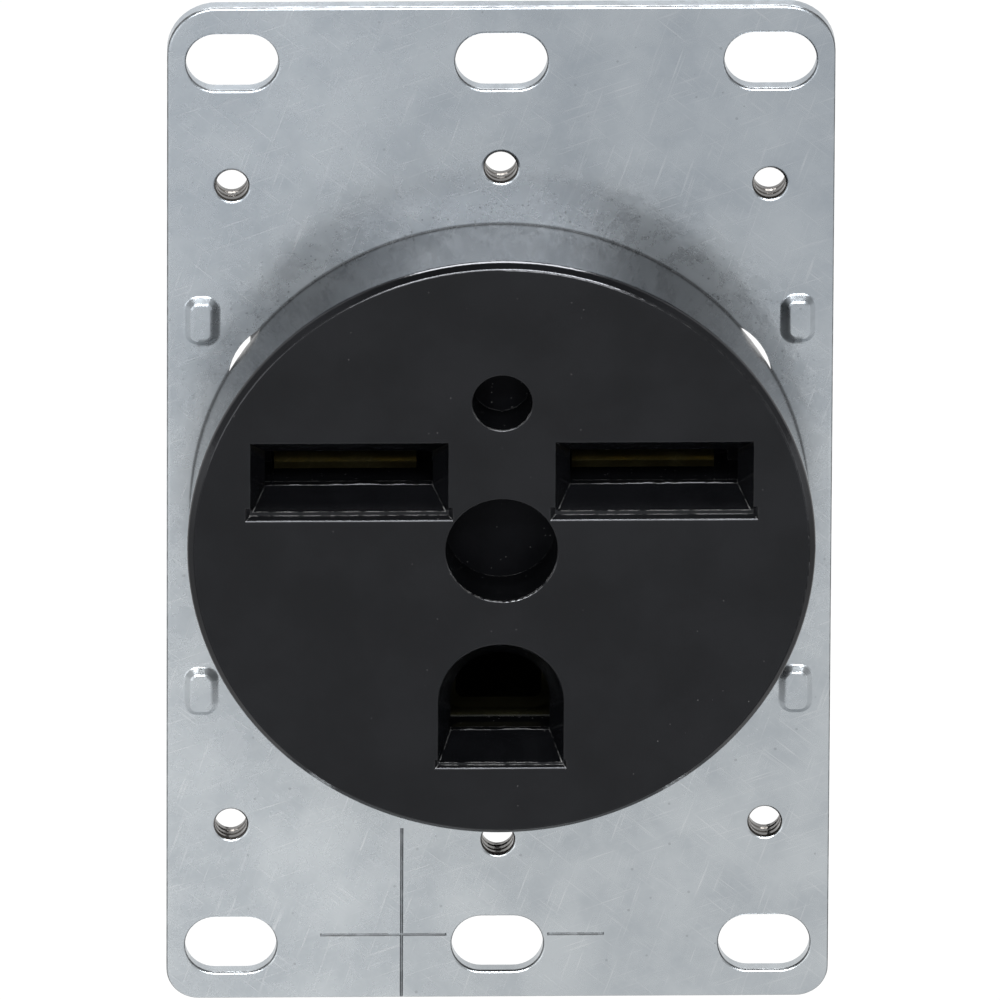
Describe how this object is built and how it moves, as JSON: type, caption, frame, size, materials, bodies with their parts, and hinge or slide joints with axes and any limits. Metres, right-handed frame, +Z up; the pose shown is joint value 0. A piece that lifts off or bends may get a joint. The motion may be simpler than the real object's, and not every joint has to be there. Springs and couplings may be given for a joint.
{
  "type": "straight blade receptacle",
  "caption": "Flush-mount straight blade power receptacle: plated steel mounting strap, round black face with in-line line slots and a U-shaped ground opening, box-lug base behind.",
  "frame": {"origin": "centre of the mounting strap's back face, midway between the box screws, where the strap meets the outlet box", "axes": "+X along the width, to the viewer's right in front of the face; +Y from the face back into the box; +Z up along the strap's length"},
  "size_m": [0.0572, 0.0372, 0.0936],
  "materials": {
    "strap_steel": "zinc-plated stamped steel, satin, finely scratched",
    "face_plastic": "black moulded thermoset plastic, semi-matte",
    "base_plastic": "black moulded plastic, semi-matte",
    "contact_brass": "rolled brass strip",
    "spring_steel": "spring steel strip",
    "lug_aluminium": "tin-plated aluminium",
    "plate_steel": "zinc-plated steel",
    "screw_steel": "zinc-plated steel",
    "rivet_steel": "plated steel",
    "ground_screw_green": "green coated steel"
  },
  "bodies": {
    "root": {"assembly_screw_lower_left": "screw_steel", "assembly_screw_lower_right": "screw_steel", "assembly_screw_upper_left": "screw_steel", "assembly_screw_upper_right": "screw_steel", "base_housing": "base_plastic", "face_housing": "face_plastic", "ground_contact": "contact_brass", "ground_rivet_left": "rivet_steel", "ground_rivet_right": "rivet_steel", "ground_spring": "spring_steel", "line_contact_left": "contact_brass", "line_contact_right": "contact_brass", "line_spring_left": "spring_steel", "line_spring_right": "spring_steel", "mounting_strap": "strap_steel", "pressure_plate_ground": "plate_steel", "pressure_plate_left": "plate_steel", "pressure_plate_right": "plate_steel", "terminal_lug_ground": "lug_aluminium", "terminal_lug_left": "lug_aluminium", "terminal_lug_right": "lug_aluminium", "terminal_screw_ground": "ground_screw_green", "terminal_screw_left": "screw_steel", "terminal_screw_right": "screw_steel"}
  },
  "joints": []
}
